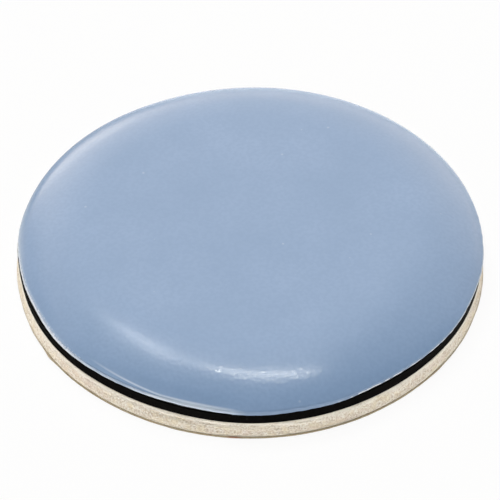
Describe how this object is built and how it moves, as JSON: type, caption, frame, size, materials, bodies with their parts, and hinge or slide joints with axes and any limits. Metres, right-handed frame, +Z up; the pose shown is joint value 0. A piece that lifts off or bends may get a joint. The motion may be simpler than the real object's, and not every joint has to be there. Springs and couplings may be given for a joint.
{
  "type": "furniture slider",
  "caption": "Round self-adhesive furniture slider: domed low-friction cap on a black rubber core, with foam mounting tape and a peel-off release liner.",
  "frame": {"origin": "centre of the release liner's underside, where the slider lies on a surface", "axes": "+Z up along the slider's axis of revolution, out of the glide face; X and Y lie in the plane of the disc"},
  "size_m": [0.0404, 0.0404, 0.0052],
  "materials": {
    "glide_plastic": "satin, slightly waxy low-friction plastic",
    "black_rubber": "matt, die-cut edge",
    "bond_film": "thin dark bonding film",
    "cream_foam": "matt closed-cell foam, die-cut edge",
    "adhesive": "tacky, slightly glossy coat",
    "liner_paper": "kraft paper, silicone-coated on its upper face"
  },
  "bodies": {
    "liner": {"release_liner": "liner_paper"},
    "slider": {"face_adhesive": "adhesive", "foam_carrier": "cream_foam", "core_adhesive": "adhesive", "cushion_core": "black_rubber", "bond_film": "bond_film", "glide_cap": "glide_plastic"}
  },
  "joints": [
    {"name": "liner_release", "type": "slide", "parent": "liner", "child": "slider", "axis": [0, 0, 1], "range_m": [0, 0.02]}
  ]
}
